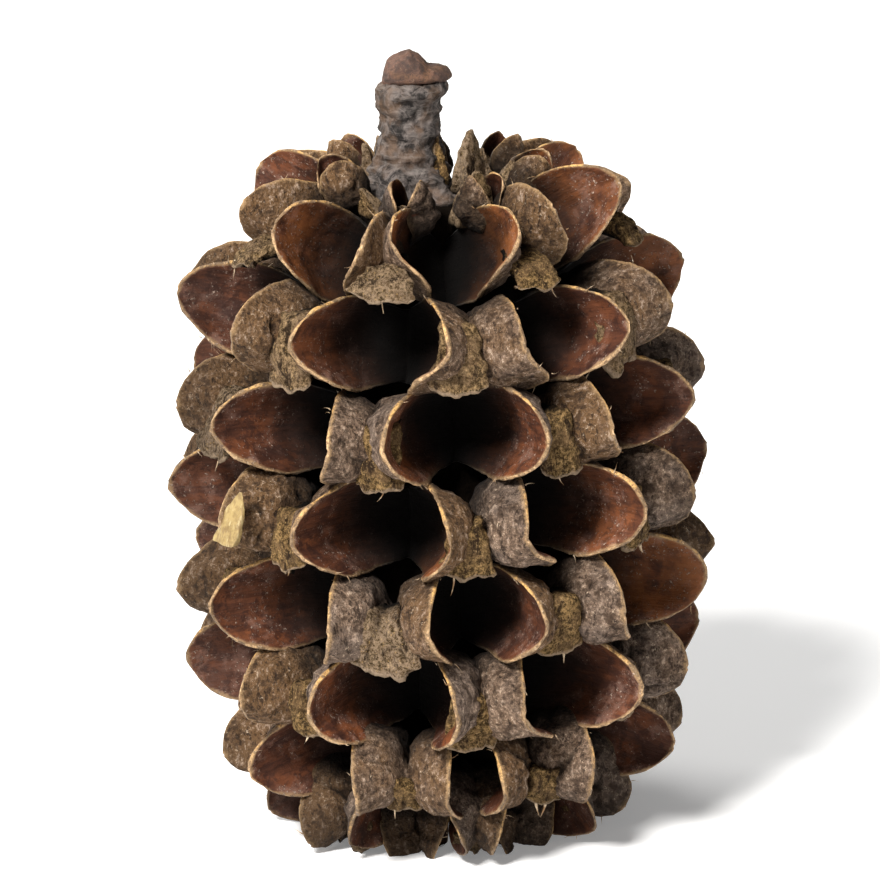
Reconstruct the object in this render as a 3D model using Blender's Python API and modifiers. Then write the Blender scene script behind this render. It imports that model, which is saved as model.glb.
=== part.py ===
"""Casuarina cone: a dry woody cone of open seed cups, on its short bark-covered stalk.

The cone stands stalk up, on the valve tips of its lowest cups. Its cups grow in whorls of seven, each
whorl turned half a step from the one above. A cup is two thin valves that open sideways, under a bract.

Blender 4.5, metres, +Z up, the front of the cone towards -Y. The origin is on the surface that the cone
stands on, under its middle.
"""

import math
import random
from collections import namedtuple

import bmesh
import bpy
from mathutils import Vector

MM = 0.001

# The cone's plan: cups in a whorl, and where its first column of cups faces, from the front towards +X
CUPS_IN_WHORL = 7
HALF_STEP = math.pi / CUPS_IN_WHORL
FIRST_COLUMN = math.radians(7.1)

# How far the columns that face forwards have drifted from an even spacing (degrees)
COLUMN_DRIFT = {12: 1.8, 13: 2.2, 0: -2.4, 1: -3.2, 2: -4.0}

# One row for each whorl, from the stalk down: how high its valve tips are and how far from the axis (mm),
# how its cups' axes rise (degrees), the size of its cups, and how far they have opened
Whorl = namedtuple("Whorl", "height reach rise size opening")
WHORLS = [
    Whorl(23.0, 3.7, 60, 0.50, 0.50),
    Whorl(21.9, 6.4, 32, 0.95, 0.95),
    Whorl(18.6, 8.4, 14, 1.00, 1.00),
    Whorl(15.3, 8.8, 6, 1.00, 1.00),
    Whorl(12.1, 9.0, 2, 1.00, 1.00),
    Whorl(9.1, 9.0, 0, 1.00, 1.00),
    Whorl(6.0, 8.6, -4, 1.00, 1.00),
    Whorl(2.9, 7.7, -15, 0.95, 0.95),
    Whorl(0.7, 6.1, -40, 0.85, 0.85),
    Whorl(-0.5, 4.4, -62, 0.65, 0.75),
]

# Cups that have opened less than the rest of their whorl: whorl and column, left and right valve
STIFF_CUPS = {(5, 0): (0.45, 0.9), (7, 0): (0.5, 0.55)}

# A valve of a full-sized cup (mm)
VALVE_LENGTH = 4.7
VALVE_HALF_HEIGHT = 1.22
VALVE_BULGE = 0.88
BULGE_SQUARENESS = 2.4
ARCH_FULLNESS = 3.4
ARCH_SQUARENESS = 0.65
FULL_HEIGHT_ALONG = 0.4
HINGE_OFFSET = 0.25
FLARE_START = 0.9
FLARE_END = 1.45
ROOT_HEIGHT = 0.82
TIP_HEIGHT = 0.2
FLOOR_ALONG = 0.28
WALL_THICKNESS = 0.6
FLOOR_THICKNESS = 1.5

# Where a cup's grid has its columns, from the floor to a valve's tip, and how far out its middle rows stand
CUP_STATIONS = (0, 0.36, 0.8, 1)
MIDDLE_PANEL = 1.4

# A valve of a small cup near either end, which has hardly opened (mm, as if full-sized)
SMALLEST_OPEN_CUP = 0.8
SCALE_LENGTH = 5.0
SCALE_HALF_HEIGHT = 1.6
SCALE_THICKNESS = 0.75
SCALE_BLUNTNESS = 0.4

# How much one valve differs from the next
OPENING_SPREAD = 0.05
RISE_SPREAD = math.radians(2.5)
TIP_SPREAD = 0.12
SEED = 4

# A bract of a full-sized cup: a woolly block over the mouth (mm)
BRACT_WIDTH = 0.7
BRACT_HEIGHT = 2.2
BRACT_POINT = 0.5
BRACT_OVER_MOUTH = 1.5
BRACT_BEHIND_TIP = 0.9
BRACT_DEPTH = 3.4

# The woody axis inside the cone (mm)
AXIS_RADIUS = 5.0
AXIS_BOTTOM = 1.0
AXIS_TOP = 21.6
AXIS_PROFILE_STEPS = 10
AXIS_SIDES = 14
AXIS_FULLNESS = 0.5
FLAT_ENOUGH = math.radians(6)

# The surface that the lowest tips are cut flat by (mm)
GROUND_SIZE = 40

# The stalk: how far to +X each ring's middle is, its height and its radius (mm)
STALK_RINGS = [
    (-0.80, 20.3, 1.10),
    (-0.80, 21.4, 1.30),
    (-0.82, 22.0, 1.42),
    (-0.82, 22.6, 1.22),
    (-0.80, 23.2, 1.02),
    (-0.77, 23.9, 0.96),
    (-0.72, 24.6, 0.98),
    (-0.60, 25.1, 1.08),
    (-0.50, 25.5, 1.05),
]
STALK_LOBES = [
    ((-0.75, -0.10, 25.95), (0.85, 0.85, 0.62)),
    ((0.00, 0.05, 25.65), (0.72, 0.80, 0.45)),
]
SOCKET_RADIUS = 1.75
SOCKET_BOTTOM = 20.0


def clear_scene():
    for obj in list(bpy.data.objects):
        bpy.data.objects.remove(obj, do_unlink=True)


def new_collection(name):
    collection = bpy.data.collections.new(name)
    bpy.context.scene.collection.children.link(collection)
    return collection


def new_material(name, colour, roughness):
    material = bpy.data.materials.new(name)
    material.use_nodes = True
    shader = material.node_tree.nodes["Principled BSDF"]
    shader.inputs["Base Color"].default_value = (*colour, 1.0)
    shader.inputs["Roughness"].default_value = roughness
    shader.inputs["Metallic"].default_value = 0.0
    material.diffuse_color = (*colour, 1.0)
    return material


def add_object(name, mesh, collection):
    obj = bpy.data.objects.new(name, mesh)
    collection.objects.link(obj)
    return obj


def finished_mesh(name, bm):
    mesh = bpy.data.meshes.new(name)
    bm.to_mesh(mesh)
    bm.free()
    return mesh


def helper_object(name, mesh, collection):
    obj = add_object(name, mesh, collection)
    obj.hide_render = True
    obj.display_type = "WIRE"
    return obj


def apply_modifiers(obj):
    graph = bpy.context.evaluated_depsgraph_get()
    graph.update()
    mesh = bpy.data.meshes.new_from_object(obj.evaluated_get(graph))
    obj.modifiers.clear()
    obj.data = mesh


def join_all(obj, others):
    """Joins every object of a collection to obj, and removes them."""
    joined = obj.modifiers.new("Joined", "BOOLEAN")
    joined.operation = "UNION"
    joined.operand_type = "COLLECTION"
    joined.collection = others
    apply_modifiers(obj)
    for other in list(others.objects):
        bpy.data.objects.remove(other, do_unlink=True)
    bpy.data.collections.remove(others)


def set_material(obj, material):
    obj.data.materials.clear()
    obj.data.materials.append(material)


def column_angle(column):
    """Azimuth of a column of cups, from the front towards +X."""
    return FIRST_COLUMN + column * HALF_STEP + math.radians(COLUMN_DRIFT.get(column, 0))


class Cup:
    """The place of one seed cup: its middle plane, its axis and where its valve tips reach."""

    def __init__(self, whorl, angle, rise):
        self.whorl = whorl
        self.sideways = Vector((math.cos(angle), math.sin(angle), 0))
        radial = Vector((math.sin(angle), -math.cos(angle), 0))
        self.outwards = radial * math.cos(rise) + Vector((0, 0, math.sin(rise)))
        self.upwards = radial * -math.sin(rise) + Vector((0, 0, math.cos(rise)))
        tip_side = (HINGE_OFFSET + (FLARE_START + FLARE_END) * whorl.opening) * whorl.size
        self.tip_distance = math.sqrt(whorl.reach**2 - tip_side**2) / math.cos(rise)
        self.foot = Vector((0, 0, whorl.height - self.tip_distance * math.sin(rise)))

    def place(self, side, out, up):
        """World point of a point that is given sideways, outwards and upwards from the cup's foot, in mm."""
        return (self.foot + self.sideways * side + self.outwards * out + self.upwards * up) * MM


def cup_point(along, across, opening):
    """A full-sized cup's inner face: sideways, back from the tips, and up (mm).

    along runs from the cup's floor, 0, to a valve's tip, 1.
    across runs from the lower rim, -1, to the upper rim, 1.
    """
    if along == 0:
        return 0, VALVE_LENGTH * (FLOOR_ALONG - 1), VALVE_HALF_HEIGHT * ROOT_HEIGHT * across
    flare = FLARE_START * along + FLARE_END * along**2
    slope = opening * (FLARE_START + 2 * FLARE_END * along) / VALVE_LENGTH
    length = math.hypot(1, slope)
    bulge = VALVE_BULGE * (1 - abs(across) ** BULGE_SQUARENESS) * (1 - along**3)
    height = VALVE_HALF_HEIGHT * (ROOT_HEIGHT + (1 - ROOT_HEIGHT) * min(1, along / FULL_HEIGHT_ALONG))
    height *= max((1 - along**ARCH_FULLNESS) ** ARCH_SQUARENESS, TIP_HEIGHT)
    side = HINGE_OFFSET + opening * flare + bulge / length
    back = VALVE_LENGTH * (along - 1) - bulge * slope / length
    return side, back, height * across


def cup_object(name, cup, openings, collection):
    """One cup: a grid bent to a trough that ends in a valve on each hand, with thin rims and thicker backs."""
    bm = bmesh.new()
    steps = len(CUP_STATIONS) - 1
    bmesh.ops.create_grid(bm, x_segments=2 * steps, y_segments=3, size=1)
    floor = [v.index for v in bm.verts if round(abs(v.co.x) * steps) == 0]
    size = cup.whorl.size
    for vert in bm.verts:
        hand = 1 if vert.co.x > 0 else -1
        along = CUP_STATIONS[round(abs(vert.co.x) * steps)]
        across = vert.co.y if abs(vert.co.y) > 0.9 else vert.co.y * MIDDLE_PANEL
        side, back, up = cup_point(along, across, openings[hand])
        vert.co = cup.place(hand * side * size, cup.tip_distance + back * size, up * size)
    bmesh.ops.triangulate(bm, faces=bm.faces)
    trough = helper_object(name, finished_mesh(name, bm), collection)
    trough.vertex_groups.new(name="floor").add(floor, 1.0, "REPLACE")
    shell = trough.modifiers.new("Shell", "SOLIDIFY")
    shell.thickness = FLOOR_THICKNESS * MM
    shell.offset = -1
    shell.vertex_group = "floor"
    shell.thickness_vertex_group = WALL_THICKNESS / FLOOR_THICKNESS
    return trough


def scale_object(name, cup, hand, opening, collection):
    """One valve of a small cup that has hardly opened: a pointed scale, from inside the axis to its tip."""
    bm = bmesh.new()
    bmesh.ops.create_cone(bm, cap_ends=True, segments=5, radius1=1, radius2=SCALE_BLUNTNESS, depth=1)
    size = cup.whorl.size
    for vert in bm.verts:
        along = vert.co.z + 0.5
        middle = HINGE_OFFSET + opening * (FLARE_START * along + FLARE_END * along**2) + SCALE_THICKNESS
        side = hand * (middle + vert.co.x * SCALE_THICKNESS) * size
        back = SCALE_LENGTH * (along - 1) * size
        vert.co = cup.place(side, cup.tip_distance + back, vert.co.y * SCALE_HALF_HEIGHT * size)
    bmesh.ops.recalc_face_normals(bm, faces=bm.faces)
    return helper_object(name, finished_mesh(name, bm), collection)


def bract_object(name, cup, collection):
    """The block over a cup's mouth: a box whose lower edge comes to a point in the middle."""
    bm = bmesh.new()
    bmesh.ops.create_cube(bm, size=1)
    sideways = [edge for edge in bm.edges if edge.verts[0].co.y == edge.verts[1].co.y]
    lower = [edge for edge in sideways if all(vert.co.z < 0 for vert in edge.verts)]
    bmesh.ops.subdivide_edges(bm, edges=lower, cuts=1)
    size = cup.whorl.size
    for vert in bm.verts:
        in_middle = abs(vert.co.x) < 0.1
        point = BRACT_POINT if in_middle else 0
        side = vert.co.x * BRACT_WIDTH
        out = cup.tip_distance / size - BRACT_BEHIND_TIP + (vert.co.y - 0.5) * BRACT_DEPTH
        up = BRACT_OVER_MOUTH + (vert.co.z + 0.5) * BRACT_HEIGHT - point
        vert.co = cup.place(side * size, out * size, up * size)
    bmesh.ops.recalc_face_normals(bm, faces=bm.faces)
    return helper_object(name, finished_mesh(name, bm), collection)


def grow_cups(collection):
    """Valves and bracts of every whorl, each a little different, in a seeded order."""
    dice = random.Random(SEED)
    for number, whorl in enumerate(WHORLS):
        first = 0 if number % 2 else 1
        for turn in range(CUPS_IN_WHORL):
            column = first + 2 * turn
            rise = math.radians(whorl.rise) + dice.uniform(-RISE_SPREAD, RISE_SPREAD)
            tip = whorl.height + dice.uniform(-TIP_SPREAD, TIP_SPREAD)
            cup = Cup(whorl._replace(height=tip), column_angle(column), rise)
            name = f"cup_{number}_{column}"
            openings = {}
            for hand, share in zip((-1, 1), STIFF_CUPS.get((number, column), (1, 1))):
                openings[hand] = whorl.opening * share * (1 + dice.uniform(-OPENING_SPREAD, OPENING_SPREAD))
            if whorl.size < SMALLEST_OPEN_CUP:
                for hand, opening in openings.items():
                    scale_object(f"{name}_{hand}", cup, hand, opening, collection)
                continue
            cup_object(name, cup, openings, collection)
            if 1 < number < 8:
                bract_object(f"{name}_bract", cup, collection)


def axis_mesh():
    """The woody axis: half its outline, turned once round."""
    bm = bmesh.new()
    middle = (AXIS_TOP + AXIS_BOTTOM) / 2
    half = (AXIS_TOP - AXIS_BOTTOM) / 2
    outline = []
    for step in range(AXIS_PROFILE_STEPS + 1):
        turn = math.pi * step / AXIS_PROFILE_STEPS
        at_pole = step in (0, AXIS_PROFILE_STEPS)
        radius = 0 if at_pole else AXIS_RADIUS * math.sin(turn) ** AXIS_FULLNESS
        outline.append(bm.verts.new((radius * MM, 0, (middle + half * math.cos(turn)) * MM)))
    for upper, under in zip(outline, outline[1:]):
        bm.edges.new((upper, under))
    return finished_mesh("axis", bm)


def build_cone(collection, cutters, material):
    """The axis with every cup joined to it, cut flat at the surface and bored for the stalk."""
    cone = add_object("cone", axis_mesh(), collection)
    turned = cone.modifiers.new("Turned", "SCREW")
    turned.steps = AXIS_SIDES
    turned.render_steps = AXIS_SIDES
    turned.use_merge_vertices = True
    turned.merge_threshold = 1e-6
    apply_modifiers(cone)

    cups = new_collection("cups")
    grow_cups(cups)
    join_all(cone, cups)

    for cutter in (ground_cutter(cutters), socket_cutter(cutters)):
        cut = cone.modifiers.new(cutter.name, "BOOLEAN")
        cut.operation = "DIFFERENCE"
        cut.object = cutter
    apply_modifiers(cone)
    keep_outer_body(cone.data)
    set_material(cone, material)


def keep_outer_body(mesh):
    """Keeps the largest body: sealed hollows are filled, and scraps that the joining left are dropped."""
    bm = bmesh.new()
    bm.from_mesh(mesh)
    bmesh.ops.dissolve_limit(bm, angle_limit=FLAT_ENOUGH, verts=bm.verts, edges=bm.edges)
    bmesh.ops.triangulate(bm, faces=bm.faces)
    bodies = []
    unseen = set(bm.faces)
    while unseen:
        body = {unseen.pop()}
        reached = list(body)
        while reached:
            face = reached.pop()
            shared = [edge for edge in face.edges if len(edge.link_faces) == 2]
            neighbours = {other for edge in shared for other in edge.link_faces} & unseen
            unseen -= neighbours
            body |= neighbours
            reached.extend(neighbours)
        bodies.append(body)
    bodies.sort(key=len, reverse=True)
    extra = [face for body in bodies[1:] for face in body]
    bmesh.ops.delete(bm, geom=extra, context="FACES")
    bm.to_mesh(mesh)
    bm.free()


def ground_cutter(cutters):
    """A block whose top is the surface that the cone stands on."""
    bm = bmesh.new()
    bmesh.ops.create_cube(bm, size=GROUND_SIZE * MM)
    bmesh.ops.translate(bm, verts=bm.verts, vec=(0, 0, -GROUND_SIZE / 2 * MM))
    return helper_object("ground", finished_mesh("ground", bm), cutters)


def socket_cutter(cutters):
    """The bore in the cone's top that the stalk's root goes into."""
    bm = bmesh.new()
    radius = SOCKET_RADIUS * MM
    depth = 2 * (AXIS_TOP - SOCKET_BOTTOM) * MM
    bmesh.ops.create_cone(bm, cap_ends=True, segments=20, radius1=radius, radius2=radius, depth=depth)
    place = Vector((STALK_RINGS[0][0] * MM, 0, SOCKET_BOTTOM * MM + depth / 2))
    bmesh.ops.translate(bm, verts=bm.verts, vec=place)
    return helper_object("socket", finished_mesh("socket", bm), cutters)


def build_stalk(collection, material):
    """The stalk: a tapered curve with filled ends, and the two lobes of its broken end joined to it."""
    curve = bpy.data.curves.new("stalk", "CURVE")
    curve.dimensions = "3D"
    curve.bevel_depth = MM
    curve.bevel_resolution = 5
    curve.use_fill_caps = True
    spline = curve.splines.new("POLY")
    spline.points.add(len(STALK_RINGS) - 1)
    for point, (side, height, radius) in zip(spline.points, STALK_RINGS):
        point.co = (side * MM, 0, height * MM, 1)
        point.radius = radius
    line = add_object("stalk line", curve, collection)
    graph = bpy.context.evaluated_depsgraph_get()
    graph.update()
    mesh = bpy.data.meshes.new_from_object(line.evaluated_get(graph))
    bpy.data.objects.remove(line, do_unlink=True)
    bm = bmesh.new()
    bm.from_mesh(mesh)
    bmesh.ops.remove_doubles(bm, verts=bm.verts, dist=1e-6)
    bmesh.ops.recalc_face_normals(bm, faces=bm.faces)
    bm.to_mesh(mesh)
    bm.free()
    stalk = add_object("stalk", mesh, collection)

    lobes = new_collection("lobes")
    for number, (middle, radii) in enumerate(STALK_LOBES):
        bm = bmesh.new()
        bmesh.ops.create_uvsphere(bm, u_segments=14, v_segments=8, radius=1)
        for vert in bm.verts:
            vert.co = Vector([m + r * c for m, r, c in zip(middle, radii, vert.co)]) * MM
        helper_object(f"lobe_{number}", finished_mesh("lobe", bm), lobes)
    join_all(stalk, lobes)
    set_material(stalk, material)


def main():
    clear_scene()
    parts = new_collection("casuarina cone")
    cutters = new_collection("cutters")
    wood = new_material("brown wood", (0.115, 0.065, 0.038), 0.75)
    bark = new_material("grey bark", (0.13, 0.105, 0.095), 0.85)
    build_cone(parts, cutters, wood)
    build_stalk(parts, bark)


main()
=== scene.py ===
import math
import random
from collections import namedtuple

import bpy
import numpy as np
from mathutils import Matrix, Vector, noise


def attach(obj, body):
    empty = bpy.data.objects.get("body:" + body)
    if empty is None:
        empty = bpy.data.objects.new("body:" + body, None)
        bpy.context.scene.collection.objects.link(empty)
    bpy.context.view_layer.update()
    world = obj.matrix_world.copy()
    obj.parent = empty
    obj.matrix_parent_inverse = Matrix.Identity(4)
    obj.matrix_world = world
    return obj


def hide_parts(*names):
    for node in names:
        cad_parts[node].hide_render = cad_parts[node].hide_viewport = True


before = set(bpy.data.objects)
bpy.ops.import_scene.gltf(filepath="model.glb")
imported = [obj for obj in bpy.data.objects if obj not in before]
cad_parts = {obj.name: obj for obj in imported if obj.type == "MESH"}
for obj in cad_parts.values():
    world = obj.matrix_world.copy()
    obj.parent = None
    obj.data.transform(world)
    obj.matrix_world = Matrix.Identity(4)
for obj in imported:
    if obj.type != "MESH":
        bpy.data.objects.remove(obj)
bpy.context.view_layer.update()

bl_info = {
    "name": "Casuarina cone",
    "version": (1, 0, 0),
    "blender": (4, 5, 0),
    "location": "3D View > Sidebar > Cone",
    "description": "Builds the look of a dry casuarina cone around its solids, piece by piece",
    "category": "Add Mesh",
}

MM = 0.001
CUPS_IN_WHORL = 7
HALF_STEP = math.pi / CUPS_IN_WHORL
COLUMNS = 2 * CUPS_IN_WHORL
FIRST_COLUMN = math.radians(7.1)

# How far some columns of cups have drifted sideways as the cone grew (degrees)
COLUMN_DRIFT = {12: 1.8, 13: 2.2, 0: -2.4, 1: -3.2, 2: -4.0}

# A whorl of cups: height and reach of its valve tips (mm), how far it points up (degrees), and its cups' size and
# opening
Whorl = namedtuple("Whorl", "height reach rise size opening")
WHORLS = [
    Whorl(23.0, 3.7, 60, 0.50, 0.50),
    Whorl(21.9, 6.4, 32, 0.95, 0.90),
    Whorl(18.6, 8.4, 14, 1, 1),
    Whorl(15.3, 8.8, 6, 1, 1),
    Whorl(12.1, 9.0, 2, 1, 1),
    Whorl(9.1, 9.0, 0, 1, 1),
    Whorl(6.0, 8.6, -4, 1, 1),
    Whorl(2.9, 7.7, -15, 0.95, 0.95),
    Whorl(0.7, 6.1, -40, 0.85, 0.85),
    Whorl(-0.5, 4.4, -62, 0.65, 0.75),
]

# How far the lower rim of some valves curls over the mouth: whorl, column and hand, and its reach (mm)
LIPS = {
    (1, 0, -1): 0.6, (2, 1, -1): 0.9, (2, 13, 1): 0.8, (3, 2, -1): 0.9, (4, 1, -1): 1.1, (5, 2, -1): 0.9,
    (6, 1, -1): 1.1,
}
USUAL_LIP = 0.4

# Valves that have opened less than their whorl: whorl, column and hand, and the share of its opening
ODD_VALVES = {
    (1, 0, -1): 0.85, (1, 2, -1): 0.74, (1, 2, 1): 0.9, (1, 12, -1): 0.64, (2, 1, -1): 0.45, (2, 13, 1): 0.95,
    (3, 2, -1): 0.8, (4, 1, -1): 0.68, (5, 0, -1): 0.45, (5, 0, 1): 0.9, (5, 2, -1): 0.8, (6, 1, -1): 0.72,
    (7, 0, -1): 0.25, (7, 0, 1): 0.33,
}

# Cups that sit higher or lower than the rest of their whorl (mm)
LIFTS = {(1, 2): 0.4, (1, 12): -0.3}

# Columns whose valves reach further out on the left of the photographed cone (mm)
COLUMN_REACH = {9: 0.10, 10: 0.22, 11: 0.28, 12: 0.12}

# Cups with brighter linings, as whorl and column, and the columns whose backs are all brown
BRIGHT_CUPS = {(1, 0), (1, 2), (1, 12)}
BROWN_COLUMNS = (9, 10, 11)

# Bracts that spread to an apron over the mouth: whorl and column, and how much wider their lower edge is
APRONS = {(6, 13): 1.0, (2, 13): 0.4, (3, 0): 0.35, (4, 11): 0.6, (5, 6): 0.8, (3, 8): 0.7}

# How much one cup differs from the next
OPENING_SPREAD = 0.05
RISE_SPREAD = math.radians(2.5)
TIP_SPREAD = 0.12
SEED = 4

# How a valve opens, along from its root, 0, to its tip, 1
FLARE_START = 0.9
FLARE_END = 1.45
HINGE_OFFSET = 0.25
FLOOR_ALONG = 0.1

# The stalk: how far to +X each ring's middle is, its height and its radius (mm)
STALK_RINGS = [
    (-0.80, 20.6, 1.75), (-0.85, 21.6, 1.62), (-0.90, 22.3, 1.35), (-0.84, 22.9, 1.10), (-0.80, 23.4, 1.00),
    (-0.77, 24.0, 0.97), (-0.74, 24.5, 1.00), (-0.80, 25.0, 1.13), (-0.66, 25.3, 1.16), (-0.52, 25.55, 1.02),
]

# The broken end of the stalk from left to right: distance to +X, its under side and its top (mm)
BREAK_OUTLINE = [
    (-1.62, 25.45, 25.60), (-1.50, 25.35, 26.20), (-1.20, 25.30, 26.42), (-0.70, 25.35, 26.56), (-0.40, 25.45, 26.40),
    (-0.12, 25.50, 26.02), (0.25, 25.45, 26.02), (0.50, 25.50, 25.92), (0.68, 25.60, 25.75),
]

# Barren scales round the stalk: azimuth from the front towards +X (degrees), radius, foot, height and width (mm), and
# lean outwards (degrees)
CROWN_SCALES = [
    (15, 0.55, 22.1, 1.6, 0.6, -4), (26, 2.7, 21.2, 2.0, 1.35, 14), (60, 1.35, 21.9, 2.1, 1.25, 2),
    (78, 2.3, 21.7, 1.2, 0.7, 18), (52, 3.1, 21.4, 1.2, 1.3, 30), (-20, 2.7, 21.2, 1.1, 1.5, 34),
    (-50, 2.6, 21.4, 1.2, 1.1, 28), (-90, 2.15, 22.0, 1.4, 0.4, 5), (100, 2.4, 21.6, 1.1, 1.0, 22),
    (130, 1.9, 21.8, 1.0, 0.9, 10), (150, 2.6, 21.4, 1.2, 1.2, 30), (180, 1.7, 21.9, 1.5, 0.9, 14),
    (205, 2.5, 21.5, 1.3, 1.1, 26), (235, 1.9, 21.8, 1.6, 0.8, 12), (255, 2.6, 21.5, 1.2, 1.2, 30),
]

# Rings of barren scales that close the lower end: how many, radius, foot, height and width (mm), lean (degrees)
LOWER_SCALES = [(9, 2.3, 2.3, 2.1, 2.3, 154), (6, 1.25, 2.2, 1.8, 2.0, 158), (3, 0.4, 2.1, 1.5, 1.4, 168)]

# The seed wing, as one more scale, its thickness (mm) and how far it slants to +X on each millimetre up
SEED_WING = (-52, 9.34, 11.55, 1.75, 1.1, -2)
WING_THICKNESS = 0.10
WING_SLANT = 0.36

# The core behind the cups: height of its middle, how far it reaches up and down from there, and its radius in the
# middle and at its narrow top (mm)
CORE_MIDDLE = 11.2
CORE_UP = 10.4
CORE_DOWN = 9.2
CORE_RADIUS = 4.0
CORE_NECK = 2.1

# Lights: place and size (m), share of the key light's power, colour
LIGHTS = {
    "key light": ((-0.16, -0.27, 0.34), 0.11, 1, (1.0, 0.98, 0.95)),
    "fill light": ((0.34, -0.22, 0.12), 0.30, 0.04, (0.97, 0.98, 1.0)),
    "back light": ((-0.22, 0.26, 0.28), 0.25, 0.30, (1.0, 0.99, 0.97)),
}
LIGHTS_AIM = (0, 0, 0.012)

# The photo's width in pixels and its pixels to the millimetre, and the camera that sees the cone alike
PHOTO_WIDTH = 880
PIXELS_IN_MM = 30
CAMERA_DISTANCE = 300
CAMERA_AIM = (-0.12, 0, 13.15)
CAMERA_TILT = math.radians(16.5)
CAMERA_ROLL = math.radians(1.95)
SENSOR_WIDTH = 36


def length_setting(name, description, usual, least, most):
    """A length for the panel, given in millimetres."""
    return bpy.props.FloatProperty(
        name=name, description=description, default=usual * MM, min=least * MM, max=most * MM, unit="LENGTH"
    )


def colour_setting(name, description, usual):
    return bpy.props.FloatVectorProperty(
        name=name, description=description, default=usual, min=0, max=1, size=3, subtype="COLOR"
    )


class CupSizes(bpy.types.PropertyGroup):
    """Sizes of a full-sized cup and of the bract above it."""

    length: length_setting("Valve length", "From the axis of the cup's floor to a valve's tip", 4.7, 3, 6)
    half_height: length_setting("Half height", "Half the height of a valve's inner face", 1.66, 1, 2)
    bulge: length_setting("Bulge", "How deep a valve's inner face is hollowed", 1.0, 0, 2)
    rim: length_setting("Rim", "Thickness of a valve at its rim", 0.14, 0.1, 0.5)
    wall: length_setting("Wall", "Thickness of a valve away from its rim", 0.75, 0.3, 1.2)
    bract_width: length_setting("Bract width", "Width of the woolly block over a cup's mouth", 1.45, 0.5, 2)
    bract_depth: length_setting("Bract depth", "How far the woolly block reaches back between the cups", 1.3, 1, 3)


class ConeColours(bpy.types.PropertyGroup):
    """Colours of the dry wood, bark and wool."""

    lining: colour_setting("Lining", "Smooth inner face of the valves", (0.122, 0.042, 0.019))
    rim: colour_setting("Rim", "Worn rims of the valves", (0.52, 0.33, 0.165))
    bark: colour_setting("Bark", "Rough backs of the valves", (0.255, 0.168, 0.114))
    wool: colour_setting("Wool", "Woolly faces of the bracts", (0.195, 0.118, 0.044))
    stalk: colour_setting("Stalk", "Weathered bark of the stalk", (0.124, 0.104, 0.094))


class StageSettings(bpy.types.PropertyGroup):
    """The floor and the light."""

    floor: colour_setting("Floor", "Colour of the pale floor", (0.93, 0.93, 0.93))
    key: bpy.props.FloatProperty(
        name="Key light", description="Power of the light at the upper left", default=4.1, min=0, max=20, unit="POWER"
    )


class Value:
    """A number that varies over a surface. Sums on it add Math nodes to its finish."""

    def __init__(self, finish, socket):
        self.finish = finish
        self.socket = socket

    def __add__(self, other):
        return self.finish.sum("ADD", self, other)

    __radd__ = __add__

    def __sub__(self, other):
        return self.finish.sum("SUBTRACT", self, other)

    def __rsub__(self, other):
        return self.finish.sum("SUBTRACT", other, self)

    def __mul__(self, other):
        return self.finish.sum("MULTIPLY", self, other)

    __rmul__ = __mul__

    def __gt__(self, other):
        return self.finish.sum("GREATER_THAN", self, other)

    def between(self, low, high):
        """0 where this is under low, 1 where it is over high, and smooth between."""
        ends = {"From Min": low, "From Max": high}
        node = self.finish.node("ShaderNodeMapRange", {"interpolation_type": "SMOOTHSTEP"}, Value=self, **ends)
        return Value(self.finish, node.outputs["Result"])


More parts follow.
